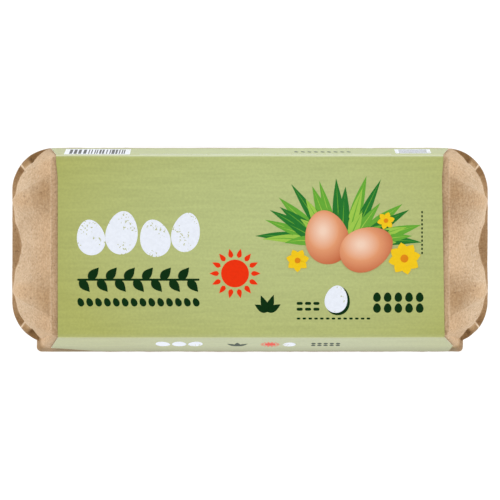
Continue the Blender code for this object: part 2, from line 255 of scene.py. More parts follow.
def roundness(along):
    """1 where the end leaves the top level and rounds over the egg, 0 where it is a straight slope."""
    if along <= CREASE_AT:
        return smooth_step(ROUND_FROM, BULGE_AT, along)
    return max(0.0, 1 - (along - CREASE_AT) / (CORNER_MIDDLE - CREASE_AT)) ** CREASE_POWER


def end_face(foot, shoulder, rounded, steps):
    """Points down the end's face: a straight slope where rounded is 0, curved over the egg where it is 1."""
    points = []
    for step in range(steps + 1):
        share = math.sin(step / steps * math.pi / 2)
        egg_drop = 1 - (1 - min(1.0, share**EGG_POWER)) ** (1 / EGG_POWER)
        drop = share + (egg_drop - share) * rounded
        plan = between(foot[:2], shoulder[:2], share)
        points.append((*plan, foot[2] + (shoulder[2] - foot[2]) * drop))
    return points


def seam_depth(along):
    """The open seam between the two flanges, which shrinks to a crease along the hinge."""
    closing = smooth_step(FLANGE_ARC_END - 12.0, FLANGE_ARC_END - 4.0, along)
    return SEAM_DEPTH + (HINGE_DEPTH - SEAM_DEPTH) * closing


def rib(along):
    """1 on the low block in each corner recess, 0 beside it."""
    angle = math.degrees((along - FLANGE_END) / FLANGE_CORNER)
    begun = smooth_step(RIB_FROM_DEG - RIB_EDGE_DEG, RIB_FROM_DEG + RIB_EDGE_DEG, angle)
    ended = smooth_step(RIB_TO_DEG - RIB_EDGE_DEG, RIB_TO_DEG + RIB_EDGE_DEG, angle)
    return begun * (1 - ended)


def top_points(along):
    """The panel's edge and the bead's crest and outer foot, for a point along the flange's edge."""
    top_along = piecewise(TOP_FOR_FLANGE, along)
    edge, normal = rounded_quarter(TOP_LENGTH, TOP_WIDTH, TOP_CORNER, top_along)
    at_end = 1 - smooth_step(TOP_END - 2.0, TOP_ARC_END + 1.0, top_along)
    crest_z = PANEL_Z + BEAD_RISE * at_end
    panel = inward(edge, normal, BEAD_WIDTH * at_end + FOLD_RADIUS * (1 - at_end))
    crest = (*inward(edge, normal, CREST_IN), crest_z - CREST_SIDE_DROP * (1 - at_end))
    foot = (*edge, crest_z - CREST_DROP - SIDE_DROP * (1 - at_end))
    return (*panel, PANEL_Z), crest, foot


def run(start, end, steps):
    """Points from start up to, but not with, end."""
    return [between(start, end, step / steps) for step in range(steps)]


def lid_station(along):
    """The points down the lid and round the two flanges at one place of the ends or the back."""
    panel, crest, foot = top_points(along)
    edge, normal = rounded_quarter(FLANGE_LENGTH, FLANGE_WIDTH, FLANGE_CORNER, along)
    inset = piecewise(END_INSETS, along)
    rise = SHOULDER_LOW + SHOULDER_RISE * min(1.0, inset / MIDDLE_RECESS) ** SHOULDER_POWER
    shoulder = (*inward(edge, normal, inset), LEDGE_Z + rise)
    cap = (panel[0] * CAP_SHARE[0], panel[1] * CAP_SHARE[1], PANEL_Z)
    points = run(cap, panel, 3) + run(panel, crest, 4) + run(crest, foot, 2)
    points += end_face(foot, shoulder, roundness(along), FACE_STEPS)[:-1]
    base_inset = max(0.0, inset - WALL_DRAFT * rise)
    block = RIB_RISE * rib(along)
    groove = inward(edge, normal, seam_depth(along))
    inner, _ = rounded_quarter(INNER_LENGTH, INNER_WIDTH, TRAY_CORNER, along / FLANGE_QUARTER * INNER_QUARTER)
    above_seam = LEDGE_Z - FLANGE_THICKNESS
    below_seam = above_seam - SEAM_GAP
    under = below_seam - FLANGE_THICKNESS
    # Each corner of the section, and how many steps lead to the next
    section = [
        (shoulder, 10),
        ((*inward(edge, normal, base_inset), LEDGE_Z + LEDGE_FOOT_RISE + block), 3),
        ((*inward(edge, normal, base_inset * LEDGE_FOOT_SHARE), LEDGE_Z + RIB_OUTER_SHARE * block), 4),
        ((*edge, LEDGE_Z - FLANGE_EDGE_DROP), 3),
        ((*edge, above_seam), 2),
        ((*groove, above_seam), 1),
        ((*groove, below_seam), 2),
        ((*edge, below_seam), 2),
        ((*edge, under), 3),
        ((*inner, under), 0),
    ]
    for (start, steps), (end, _) in zip(section, section[1:]):
        points += run(start, end, steps)
    return points + [(*inner, under), (*inner, JOIN_Z)]


def spread(start, end, spacing):
    steps = math.ceil((end - start) / spacing)
    return [start + (end - start) * step / steps for step in range(steps)]


def lid_rings():
    """The lid and both flanges as rings from the top down, each running round the whole carton."""
    places = spread(0.0, BULGE_AT, END_SPACING) + spread(BULGE_AT, CREASE_AT, END_SPACING)
    places += spread(CREASE_AT, FLANGE_ARC_END, END_SPACING)
    places += spread(FLANGE_ARC_END, FLANGE_QUARTER, SIDE_SPACING) + [FLANGE_QUARTER]
    quarter = [lid_station(along) for along in places]

    def turned(stations, sign_x, sign_y):
        return [[(x * sign_x, y * sign_y, z) for x, y, z in station] for station in stations]

    back = quarter[:-1] + turned(quarter[:0:-1], -1, 1)
    stations = back + turned(back, -1, -1)
    return [[station[level] for station in stations] for level in range(len(stations[0]))]


def wall_outline(half_length, reach, corner, z):
    """The front wall's outline at one level: a strip whose two outer corners are rounded."""
    arc = [math.pi / 2 * step / CORNER_SIDES for step in range(CORNER_SIDES + 1)]
    right = []
    for angle in reversed(arc):
        x = half_length - corner * (1 - math.cos(angle))
        y = corner * (1 - math.sin(angle)) - reach
        right.append((x, y, z))
    inside = (half_length, -WALL_INSIDE, z)
    right += run(right[-1], inside, 4)[1:] + [inside]
    left = [(-x, y, z) for x, y, _ in reversed(right)]
    steps = math.ceil(APRON_LENGTH / WALL_SPACING)
    return left + run(left[-1], right[0], steps)[1:] + right + run(right[-1], left[0], steps)[1:]


def front_wall_rings():
    """The lid's front wall, from its upper edge down to its thin free edge and back up behind it."""
    low, thick, chamfer = APRON_BOTTOM_Z, APRON_THICKNESS, APRON_CHAMFER
    half, reach = APRON_LENGTH / 2, APRON_REACH
    behind = LEDGE_Z - 2 * FLANGE_THICKNESS - SEAM_GAP - LIP_CLEARANCE
    upper = (TOP_LENGTH / 2 - 2 * WALL_TOP_OUT, TOP_WIDTH / 2 + WALL_TOP_OUT, TOP_CORNER, WALL_TOP_Z)
    lower = (half, reach, APRON_CORNER, low + chamfer)
    levels = run(upper, lower, WALL_STEPS) + [
        lower,
        (half - chamfer / 2, reach - chamfer / 2, APRON_CORNER, low),
        (half - thick, reach - thick, APRON_CORNER / 2, low),
        (half - thick - LIP_INSET, reach - thick - LIP_INSET, APRON_CORNER / 2, behind),
    ]
    return [wall_outline(*level) for level in levels]


def cup_rings(centre_x, centre_y):
    """One cup's outside: a rounded square that widens upwards from a flat foot."""
    rings = []
    for z in CUP_LEVELS:
        radius = FOOT_RADIUS + CUP_FLARE * (1 - math.exp(-z / CUP_FLARE_HEIGHT)) + CUP_TAPER * z
        ring = []
        for side in range(CUP_SIDES):
            angle = 2 * math.pi * (side + 0.5) / CUP_SIDES
            across, away = math.cos(angle), math.sin(angle)
            reach = (abs(across) ** CUP_SQUARENESS + abs(away) ** CUP_SQUARENESS) ** (-1 / CUP_SQUARENESS)
            x = centre_x + radius * reach * across
            y = centre_y + radius * reach * away * CUP_WIDTH_SHARE
            ring.append((x, y, z))
        rings.append(ring)
    return rings


def web_rings():
    """The block that joins the cups under the flange, with slanting sides."""
    rings = []
    for z in (TRAY_TOP_Z, WEB_Z):
        slant = 2 * TRAY_DRAFT * (TRAY_TOP_Z - z)
        length, width = TRAY_LENGTH - slant, TRAY_WIDTH - slant
        quarter = quarter_length(length, width, TRAY_CORNER)
        shares = [step / WEB_STEPS for step in range(WEB_STEPS)]
        points = [rounded_quarter(length, width, TRAY_CORNER, quarter * share)[0] for share in shares]
        middle = rounded_quarter(length, width, TRAY_CORNER, quarter)[0]
        back = points + [middle] + [(-x, y) for x, y in reversed(points[1:])]
        rings.append([(x, y, z) for x, y in back + [(-x, -y) for x, y in back]])
    return rings


def cone_rings(centre_x):
    """The hollow inside one of the cones that stand between four cups."""
    rings = []
    for z, radius in ((WEB_Z + CONE_DEPTH, CONE_TIP_RADIUS), (WEB_Z - 1.0, CONE_RADIUS)):
        angles = [2 * math.pi * side / CUP_SIDES for side in range(CUP_SIDES)]
        rings.append([(centre_x + radius * math.cos(a), radius * math.sin(a), z) for a in angles])
    return rings


def in_row_frame(x, y, z):
    """A point in millimetres, y counted from the flange's middle line, in metres in the row's frame."""
    return (x * MM, (y + FLANGE_MIDDLE_Y) * MM, z * MM)


def add_rings(mesh, rings):
    """Adds a closed shape to the mesh from rings of equal length, with a flat cap on both ends."""
    loops = [[mesh.verts.new(in_row_frame(*point)) for point in ring] for ring in rings]
    count = len(rings[0])
    for upper, lower in zip(loops, loops[1:]):
        for i in range(count):
            j = (i + 1) % count
            mesh.faces.new((upper[j], upper[i], lower[i], lower[j]))
    mesh.faces.new(loops[0])
    mesh.faces.new(list(reversed(loops[-1])))


def in_scene(name, data):
    obj = bpy.data.objects.new(name, data)
    bpy.context.scene.collection.objects.link(obj)
    return obj


def new_object(name, mesh):
    """An object in the scene from a bmesh, smooth shaded."""
    bmesh.ops.recalc_face_normals(mesh, faces=mesh.faces)
    data = bpy.data.meshes.new(name)
    mesh.to_mesh(data)
    mesh.free()
    data.shade_smooth()
    return in_scene(name, data)


def from_rings(name, *all_rings):
    mesh = bmesh.new()
    for rings in all_rings:
        add_rings(mesh, rings)
    return new_object(name, mesh)


def apply_modifiers(obj):
    graph = bpy.context.evaluated_depsgraph_get()
    data = bpy.data.meshes.new_from_object(obj.evaluated_get(graph))
    obj.modifiers.clear()
    obj.data = data
    data.shade_smooth()


def soften(obj, iterations):
    """Rounds the edges, as edges of pulp are rounded."""
    smooth = obj.modifiers.new("smooth", "SMOOTH")
    smooth.factor = 0.5
    smooth.iterations = iterations
    apply_modifiers(obj)


def pulp_relief(point):
    """How far the pulp stands out of its ideal surface, in millimetres."""
    lumps = noise.noise(point / (LUMPS[0] * MM)) * LUMPS[1]
    grains = noise.noise(point / (GRAINS[0] * MM) + Vector((9.0, 4.0, 2.0))) * GRAINS[1]
    return lumps + grains + noise.noise(point / (FINE_GRAINS[0] * MM)) * FINE_GRAINS[1]


def roughen(obj):
    """Moves each point along its normal by the pulp's relief."""
    normals = [vertex.normal.copy() for vertex in obj.data.vertices]
    for vertex, normal in zip(obj.data.vertices, normals):
        vertex.co += normal * pulp_relief(vertex.co) * MM
        vertex.co.z = max(0.0, vertex.co.z)
    obj.data.update()


def make_lid():
    """The lid with both flanges, and its front wall, as two closed shapes of one piece."""
    lid = from_rings("pulp_lid", lid_rings(), front_wall_rings())
    soften(lid, EDGE_SMOOTHING)
    roughen(lid)
    return lid


def make_tray():
    """The tray's webs and cups fused into one skin by a voxel remesh, with the cones' hollows cut first."""
    places = [(place - (CUPS_PER_ROW - 1) / 2) * PITCH_X for place in range(CUPS_PER_ROW)]
    tray = from_rings("pulp_tray", web_rings())
    hollows = from_rings("hollows", *[cone_rings(x + PITCH_X / 2) for x in places[:-1]])
    cut = tray.modifiers.new("hollows", "BOOLEAN")
    cut.object = hollows
    cut.operation = "DIFFERENCE"
    cut.solver = "EXACT"
    apply_modifiers(tray)
    bpy.data.objects.remove(hollows)
    mesh = bmesh.new()
    mesh.from_mesh(tray.data)
    for x in places:
        for row in (-1, 1):
            add_rings(mesh, cup_rings(x, row * ROWS_Y))
    mesh.to_mesh(tray.data)
    mesh.free()
    remesh = tray.modifiers.new("skin", "REMESH")
    remesh.mode = "VOXEL"
    remesh.voxel_size = TRAY_VOXEL * MM
    soften(tray, TRAY_SMOOTHING)
    roughen(tray)
    return tray


# The label's paper. A place on it is (x, v): x runs along the carton, and v is the distance across the paper
# from its middle line, towards the back if positive and towards the front if negative.


def wall_slope(front):
    """The lid wall under the label: its lean from the vertical, and the height and place of its upper end."""
    if front:
        upper = (TOP_WIDTH / 2 + WALL_TOP_OUT, WALL_TOP_Z)
        lower = (APRON_REACH, APRON_BOTTOM_Z + APRON_CHAMFER)
    else:
        upper = (TOP_WIDTH / 2, PANEL_Z - CREST_DROP - SIDE_DROP)
        lower = (FLANGE_WIDTH / 2, LEDGE_Z + SHOULDER_LOW)
    lean = math.atan2(lower[0] - upper[0], upper[1] - lower[1])
    touch = upper[0] + (upper[1] - PANEL_Z + FOLD_RADIUS) * math.tan(lean)
    return lean, touch - FOLD_RADIUS / math.cos(lean) + FOLD_OUT


def fold_and_end(front):
    """Where, in v, the paper's fold starts and ends and the paper itself ends."""
    lean, centre = wall_slope(front)
    bend = math.pi / 2 - lean
    end_z = LABEL_FRONT_END_Z if front else LABEL_BACK_END_Z
    drop = (PANEL_Z - FOLD_RADIUS * (1 - math.cos(bend)) - end_z) / math.sin(bend)
    return centre, centre + FOLD_RADIUS * bend, centre + FOLD_RADIUS * bend + drop


def paper_wave(x, v):
    """The gentle unevenness of paper glued on pulp, in millimetres."""
    broad = noise.noise(Vector((x / 46.0, v / 33.0, 3.0)))
    fine = noise.noise(Vector((x / 14.0, v / 12.0, 7.0)))
    return 0.10 * broad + 0.04 * fine


def on_paper(x, v, height):
    """The point at a height above the paper's upper face, in metres in the row frame."""
    front = v < 0
    lean, centre = wall_slope(front)
    bend = math.pi / 2 - lean
    offset = PAPER_CLEARANCE + PAPER_THICKNESS + height + paper_wave(x, v)
    across = abs(v)
    turn = min(max(0.0, (across - centre) / FOLD_RADIUS), bend)
    beyond = max(0.0, across - centre - FOLD_RADIUS * bend)
    y = min(across, centre) + (FOLD_RADIUS + offset) * math.sin(turn) + beyond * math.cos(bend)
    z = PANEL_Z - FOLD_RADIUS + (FOLD_RADIUS + offset) * math.cos(turn) - beyond * math.sin(bend)
    return in_row_frame(x, -y if front else y, z)


def paper_edges(v):
    """The left and right ends of the paper at one place across it."""
    _, fold_end, end = fold_and_end(v < 0)
    beyond = max(0.0, abs(v) - fold_end) / (end - fold_end)
    on_top = max(-SKEW_REACH, min(SKEW_REACH, v))
    right = PAPER_RIGHT + PAPER_SKEW * on_top
    if v < 0:
        return PAPER_LEFT - PAPER_FRONT_FLARE * beyond, right + piecewise(PAPER_RIGHT_FLARE, beyond)
    flare = PAPER_BACK_FLARE * beyond + BACK_WIDENING * smooth_step(WIDENS_FROM, WIDENS_TO, v)
    return PAPER_LEFT - flare, right + flare


def slanted(x, v):
    """Draws the front edge of the paper up a little at its left end, where it was cut askew."""
    _, fold_end, end = fold_and_end(True)
    if v > -fold_end:
        return v
    rise = SLANT_RISE * (1 - smooth_step(SLANT_FROM, SLANT_TO, x))
    return v + rise * (-v - fold_end) / (end - fold_end)


def across_paper():
    """The places across the paper, from its back edge to its front edge, close together on the folds."""
    places = []
    for front in (False, True):
        fold, fold_end, end = fold_and_end(front)
        half = [end - (end - fold_end) * step / 10 for step in range(10)]
        half += [fold_end - (fold_end - fold) * step / 6 for step in range(6)]
        half += [fold * (1 - step / 16) for step in range(16)]
        places += half if not front else [0.0] + [-v for v in reversed(half)]
    return places


def make_label():
    """The paper as one thin closed sheet, printed green outside and bare on its inside and edges."""
    mesh = bmesh.new()
    sides = []
    for height in (0.0, -PAPER_THICKNESS):
        grid = []
        for v in across_paper():
            left, right = paper_edges(v)
            xs = [left + (right - left) * step / PAPER_STEPS for step in range(PAPER_STEPS + 1)]
            grid.append([mesh.verts.new(on_paper(x, slanted(x, v), height)) for x in xs])
        sides.append(grid)
    outer, inner = sides
    rows, columns = len(outer), PAPER_STEPS + 1
    for i in range(rows - 1):
        for j in range(columns - 1):
            corners = ((i, j), (i + 1, j), (i + 1, j + 1), (i, j + 1))
            mesh.faces.new([outer[a][b] for a, b in corners])
            mesh.faces.new([inner[a][b] for a, b in reversed(corners)]).material_index = BARE
    rim = [(i, 0) for i in range(rows)]
    rim += [(rows - 1, j) for j in range(1, columns)]
    rim += [(i, columns - 1) for i in reversed(range(rows - 1))]
    rim += [(0, j) for j in reversed(range(1, columns - 1))]
    for (a, b), (c, d) in zip(rim, rim[1:] + rim[:1]):
        mesh.faces.new((outer[a][b], inner[a][b], inner[c][d], outer[c][d])).material_index = BARE
    label = new_object("label_paper", mesh)
    label.data.set_sharp_from_angle(angle=math.radians(SHARP_DEG))
    return label


# The print: thin inlays of one colour each, laid on the paper. Outlines are lists of (x, v).

INKS = {}


def print_shape(colour, outline, level=1):
    """Adds one flat shape to the inlay of its colour; a higher level lies on top of a lower one."""
    mesh = INKS.setdefault(colour, bmesh.new())
    flat = bmesh.new()
    flat.faces.new([flat.verts.new((x, v, 0.0)) for x, v in outline])
    bmesh.ops.triangulate(flat, faces=flat.faces[:])
    while True:
        long_edges = [edge for edge in flat.edges if edge.calc_length() > INK_SPAN]
        if not long_edges:
            break
        bmesh.ops.subdivide_edges(flat, edges=long_edges, cuts=1)
        bmesh.ops.triangulate(flat, faces=flat.faces[:])
    flat.verts.index_update()
    top = [mesh.verts.new(on_paper(p.co.x, p.co.y, INK_STEP * level)) for p in flat.verts]
    bottom = [mesh.verts.new(on_paper(p.co.x, p.co.y, -INK_STEP)) for p in flat.verts]
    for face in flat.faces:
        indices = [p.index for p in face.verts]
        mesh.faces.new([top[i] for i in indices])
        mesh.faces.new([bottom[i] for i in reversed(indices)])
    for edge in flat.edges:
        if edge.is_boundary:
            a, b = (p.index for p in edge.verts)
            mesh.faces.new((top[a], top[b], bottom[b], bottom[a]))
    flat.free()


def turned_about(x, v, points, degrees):
    """Local points turned and moved to (x, v)."""
    c, s = math.cos(math.radians(degrees)), math.sin(math.radians(degrees))
    return [(x + px * c - pv * s, v + px * s + pv * c) for px, pv in points]


def egg(x, v, width, height, tilt=0.0, sides=40):
    """An egg's outline with its narrow end up."""
    points = []
    for side in range(sides):
        angle = 2 * math.pi * side / sides
        narrowing = 1 - 0.13 * math.cos(angle)
        points.append((width / 2 * math.sin(angle) * narrowing, height / 2 * math.cos(angle)))
    return turned_about(x, v, points, tilt)


def disc(x, v, radius, sides=32):
    angles = [2 * math.pi * side / sides for side in range(sides)]
    return [(x + radius * math.cos(a), v + radius * math.sin(a)) for a in angles]


def leaf(x, v, length, width, degrees, bend=0.0, fullness=0.75, steps=9):
    """A leaf or blade that starts at (x, v) and points along degrees, curving by bend at its tip."""
    centre = [(length * t, bend * t * t) for t in [step / steps for step in range(steps + 1)]]
    half = [width / 2 * math.sin(math.pi * (step / steps) ** fullness) for step in range(steps + 1)]
    upper = [(cx, cv + h) for (cx, cv), h in zip(centre, half)]
    lower = [(cx, cv - h) for (cx, cv), h in zip(centre, half)][1:-1]
    return turned_about(x, v, upper + lower[::-1], degrees)


def pill(x, v, length, height, degrees=0.0):
    """A short bar with round ends."""
    radius = height / 2
    arc = [math.pi * (step / 8 - 0.5) for step in range(9)]
    right = [(length / 2 - radius + radius * math.cos(a), radius * math.sin(a)) for a in arc]
    return turned_about(x, v, right + [(-px, -pv) for px, pv in right], degrees)


def box_shape(x, v, length, height):
    signs = ((-1, -1), (1, -1), (1, 1), (-1, 1))
    return [(x + sign_x * length / 2, v + sign_v * height / 2) for sign_x, sign_v in signs]


def print_title_eggs():
    """A row of plain white eggs, in the large place at the left of the label."""
    for x, v, width, height, tilt in (
        (-82.0, 4.4, 14.5, 18.5, 10.0),
        (-66.0, 6.8, 16.5, 22.5, -8.0),
        (-49.0, 4.0, 15.5, 19.5, 14.0),
        (-33.0, 7.0, 14.5, 20.5, -12.0),
    ):
        print_shape("white", egg(x, v, width, height, tilt))


def print_garland():
    """A garland of dark green leaves under the eggs, with a row of seeds below it."""
    left, right, v = -89.0, -26.0, -17.4
    print_shape("dark_green", pill((left + right) / 2, v, right - left, 1.1))
    count = 13
    for place in range(count):
        x = left + 1.2 + (right - left - 7.2) * place / (count - 1)
        up = 1 if place % 2 else -1
        print_shape("dark_green", leaf(x, v, 8.2, 4.6, up * 50.0), 2)
    seeds = 14
    for place in range(seeds):
        x = left + 1.8 + (right - left - 3.6) * place / (seeds - 1)
        print_shape("dark_green", egg(x, -29.0, 3.3, 4.6, 24.0, 20))


def print_sun(x, v, radius, level=1):
    """A plain sun: a disc with short pointed rays."""
    print_shape("red", disc(x, v, radius * 0.56), level)
    rays = 14
    for ray in range(rays):
        angle = 360 / rays * ray
        c, s = math.cos(math.radians(angle)), math.sin(math.radians(angle))
        start = radius * 0.64
        pointed = leaf(x + c * start, v + s * start, radius * 0.38, radius * 0.2, angle, 0.0, 0.6, 6)
        print_shape("red", pointed, level)


def print_rows(shape, rows, columns, x, v, step_x, step_v, *sizes):
    """Rows of one small dark shape, from (x, v) to the right and down."""
    for row in range(rows):
        for column in range(columns):
            print_shape("dark_green", shape(x + column * step_x, v - row * step_v, *sizes))


def print_small_marks():
    """The small dark marks in the lower row: a sprig, seeds, a white egg on its shadow, and ten dots."""
    for degrees, length in ((150.0, 7.6), (112.0, 9.2), (70.0, 9.4), (30.0, 7.8)):
        print_shape("dark_green", leaf(9.0, -34.0, length, 3.6, degrees))
    print_rows(pill, 2, 3, 25.6, -29.6, 4.3, 3.0, 3.2, 1.5)
    print_shape("dark_green", egg(45.4, -28.3, 12.2, 14.8, -10.0))
    print_shape("white", egg(44.4, -27.4, 11.6, 14.2, -10.0), 2)
    print_rows(pill, 1, 13, 25.0, -37.4, 3.0, 0.0, 1.9, 1.0)
    print_rows(egg, 2, CUPS_PER_ROW, 65.4, -26.4, 5.5, 5.6, 3.9, 4.9)
    print_rows(pill, 11, 1, 88.6, 17.4, 0.0, 2.1, 1.3, 0.8, 90.0)


def print_leaf(colour, vein, x, v, length, width, degrees, bend, level):
    """A broad leaf with a fine midrib of another green."""
    print_shape(colour, leaf(x, v, length, width, degrees, bend, 0.8), level)
    print_shape(vein, leaf(x, v, length * 0.93, 0.5, degrees, bend * 0.86, 0.8), level + 1)


def print_leaves():
    """A spray of broad pointed leaves in three greens, on both sides of the two printed eggs."""
    draw = random.Random(4)
    greens = (("leaf_dark", "leaf"), ("leaf", "leaf_light"), ("leaf_light", "leaf"))
    for ring, (count, near, far) in enumerate(((13, 33.0, 40.0), (11, 26.0, 33.0), (9, 17.0, 24.0))):
        for place in range(count):
            angle = 90.0 + 84.0 * (2 * (place + 0.5) / count - 1) + draw.uniform(-4.0, 4.0)
            length = draw.uniform(near, far) * (1.0 - 0.16 * abs(math.cos(math.radians(angle))))
            start_x = PICTURE_X + 13.0 * math.cos(math.radians(angle))
            bend = 5.0 * math.cos(math.radians(angle)) * draw.uniform(-1.4, -0.4)
            colour, vein = greens[(place + ring) % 3] if ring else greens[place % 2]
            print_leaf(colour, vein, start_x, 1.5, length, draw.uniform(4.6, 6.6), angle, bend, 1 + 2 * ring)


def print_flower(x, v, radius, petals):
    """A small yellow flower, each petal its own shape."""
    for petal in range(petals):
        angle = 360 / petals * petal + 12.0
        print_shape("yellow", leaf(x, v, radius, radius * 0.62, angle, 0.0, 1.3), 8 + petal % 2)
    print_shape("orange", disc(x, v, radius * 0.24), 11)


def print_flowers():
    print_flower(79.5, -6.5, 8.4, 8)
    print_flower(24.5, -7.5, 6.0, 7)
    print_flower(70.0, 13.0, 4.6, 6)


def print_back_panel():
    """Plain white fields on the back panel: one with upright stripes, one with short lines."""
    _, fold_end, end = fold_and_end(False)
    middle = (fold_end + end) / 2
    striped = fold_end + 8.8
    print_shape("white", box_shape(-79.0, striped, 34.0, 17.0))
    draw = random.Random(5)
    x = -93.5
    while x < -65.0:
        width = draw.choice((0.6, 1.0, 1.5))
        print_shape("ink", box_shape(x + width / 2, striped, width, 13.5), 2)
        x += width + draw.choice((0.5, 0.8, 1.1))
    print_shape("white", box_shape(84.5, middle, 18.5, 13.0))
    for line in range(4):
        print_shape("ink", box_shape(84.5, middle + 4.2 - line * 2.8, 14.5, 0.8), 2)
    print_shape("white", box_shape(8.0, fold_end + 1.2, 130.0, 0.5))
    print_rows(egg, 1, 9, 24.0, middle - 2.0, 3.4, 0.0, 2.0, 3.0, 24.0, 16)


def print_front_panel():
    """The same motifs again, smaller, on the front panel."""
    _, fold_end, end = fold_and_end(True)
    middle = -(fold_end + end) / 2
    for place in range(3):
        print_shape("white", egg(-45.5 + place * 8.6, middle + 1.0, 7.4, 9.6, 12.0 - 12.0 * place))
    for place in range(3):
        print_shape("dark_green", leaf(-6.6, middle - 4.0, 7.6, 3.0, 45.0 + 45.0 * place))
    print_sun(10.5, middle, 5.2)
    print_shape("white", egg(20.5, middle, 6.6, 8.4, -8.0))
    print_rows(egg, 2, CUPS_PER_ROW, 33.0, middle + 1.9, 3.2, 3.8, 2.3, 3.0)


def printed_egg(name, x, v, width, height, tilt, level):
    """One egg of the picture, as a piece of its own so that its shading runs across it."""
    print_shape(name, egg(x, v, width, height, tilt, 56), level)
    return new_object(name, INKS.pop(name))


# Materials


def srgb(red, green, blue):
    """A colour read off as 0 to 255 values, made linear."""
    values = [value / 255 for value in (red, green, blue)]
    return (*[v / 12.92 if v <= 0.04045 else ((v + 0.055) / 1.055) ** 2.4 for v in values], 1.0)


class Nodes:
    """A material under construction."""

    def __init__(self, name, roughness):
        self.material = bpy.data.materials.new(name)
        self.material.use_nodes = True
        self.tree = self.material.node_tree
        self.shader = self.tree.nodes["Principled BSDF"]
        self.place = self.node("TexCoord").outputs["Object"]
        self.set("Roughness", roughness)

    def set(self, name, value):
        self.shader.inputs[name].default_value = value

    def link(self, value, socket):
        if isinstance(value, bpy.types.NodeSocket):
            self.tree.links.new(value, socket)
        else:
            socket.default_value = value

    def node(self, kind, **values):
        """A new node, with the named inputs linked or set."""
        node = self.tree.nodes.new("ShaderNode" + kind)
        for name, value in values.items():
            self.link(value, node.inputs[name])
        return node

    def axes(self, vector):
        """The x, y and z of a place."""
        outputs = self.node("SeparateXYZ", Vector=vector).outputs
        return outputs["X"], outputs["Y"], outputs["Z"]

    def mapped(self, scale, turn=(0.0, 0.0, 0.0)):
        return self.node("Mapping", Vector=self.place, Scale=scale, Rotation=turn).outputs["Vector"]

    def noise(self, per_metre, detail=2.0, vector=None, roughness=0.5):
        vector = vector or self.place
        node = self.node("TexNoise", Vector=vector, Scale=per_metre, Detail=detail, Roughness=roughness)
        return node.outputs["Fac"]

    def math(self, operation, a, b=0.0):
        node = self.node("Math")
        node.operation = operation
        self.link(a, node.inputs[0])
        self.link(b, node.inputs[1])
        return node.outputs[0]

    def product(self, *values):
        """All the values multiplied."""
        result = values[0]
        for value in values[1:]:
            result = self.math("MULTIPLY", result, value)
        return result

    def distance(self, value, place):
        """How far a value is from a place in millimetres, either way."""
        return self.math("ABSOLUTE", self.math("SUBTRACT", value, place * MM))

    def ramp(self, value, low, high, start=0.0, end=1.0):
        """Value read from low to high as start to end, and held at both ends."""
        ends = {"From Min": low, "From Max": high, "To Min": start, "To Max": end}
        return self.node("MapRange", Value=value, **ends).outputs["Result"]

    def ramp_mm(self, value, low, high, start=0.0, end=1.0):
        """The same for a length, with low and high in millimetres."""
        return self.ramp(value, low * MM, high * MM, start, end)

    def mix(self, share, a, b, blend="MIX"):
        node = self.node("Mix")
        node.data_type = "RGBA"
        node.blend_type = blend
        self.link(share, node.inputs["Factor"])
        self.link(a, node.inputs["A"])
        self.link(b, node.inputs["B"])
        return node.outputs["Result"]

    def toned(self, share, colour, tone):
        """The colour multiplied by the tone, by as much as share."""
        return self.mix(share, colour, self.mix(1.0, colour, tone, "MULTIPLY"))

    def bump(self, height, distance):
        node = self.node("Bump", Height=height, Strength=1.0, Distance=distance * MM)
        self.link(node.outputs["Normal"], self.shader.inputs["Normal"])

    def finish(self, colour):
        self.link(colour, self.shader.inputs["Base Color"])
        return self.material


PULP_LIGHT = (0.600, 0.405, 0.235, 1.0)
PULP_DARK = (0.418, 0.255, 0.126, 1.0)
PULP_FIBRE = (0.230, 0.125, 0.055, 1.0)
# The pale fibres' colour, which the painted highlights on the bead's crest and the corner blocks' rims use
# too
PULP_PALE_FIBRE_AND_HIGHLIGHT = (0.720, 0.560, 0.390, 1.0)

# How much darker painted shade makes the pulp in some places, and how much paler painted highlight makes it
# in others
FLANGE_SHADE = (0.72, 0.67, 0.56, 1.0)  # painted shade on the flanges and all below them
CORNER_SHADE = (0.66, 0.56, 0.35, 1.0)  # more painted shade low in their corners
SLOPE_HIGHLIGHT = (1.04, 1.12, 1.25, 1.0)  # painted highlight on the outer slopes of the ends
VALLEY_SHADE = (0.94, 0.89, 0.81, 1.0)  # painted shade in the valley beside each bulge
LABEL_SHADOW = (0.56, 0.60, 0.12, 1.0)  # painted shadow on the lip that shows under the label

# Where that is: a tone starts at the first number of a pair and is full at the second
FLANGE_SHADE_Z = (LEDGE_Z + 3.4, LEDGE_Z + 0.8)
CORNER_Y = (31.0, 42.0)
CORNER_Z = (LEDGE_Z + 6.2, LEDGE_Z + 2.0)
SLOPE_HIGHLIGHT_X = (106.0, 115.0)
SLOPE_HIGHLIGHT_Y = (46.0, 43.0)
SLOPE_HIGHLIGHT_Z = (LEDGE_Z + 3.0, LEDGE_Z + 6.0)
SLOPE_HIGHLIGHT_FROM_TIP = (2.0, 6.5)
VALLEY_AT = 27.5
VALLEY_BESIDE = (7.0, 2.5)
VALLEY_INNER_X = (102.0, 104.0)
VALLEY_OUTER_X = (111.5, 107.0)
VALLEY_Z = (LEDGE_Z + 10.0, LEDGE_Z + 14.0)
LABEL_SHADOW_LEFT = (-104.5, -101.0)
LABEL_SHADOW_RIGHT = (109.5, 107.0)
LABEL_SHADOW_Y = (-48.0, -50.0)
LABEL_SHADOW_Z = (46.0, 41.0)

# The painted highlights along the bead's crest and along the rim of each corner block, which runs at its own
# slant
CREST_HIGHLIGHT_X = TOP_LENGTH / 2 - CREST_IN
CREST_HIGHLIGHT_Z = (PANEL_Z - 0.7, PANEL_Z)
CREST_HIGHLIGHT_BESIDE = (0.5, 0.1)
RIM_AT = (16.4, 12.0)  # a point on it, from the middle of the flange's corner
RIM_DEG = 52.0
RIM_Z = (LEDGE_Z + 6.5, LEDGE_Z + 5.0)
RIM_BESIDE = (0.65, 0.25)


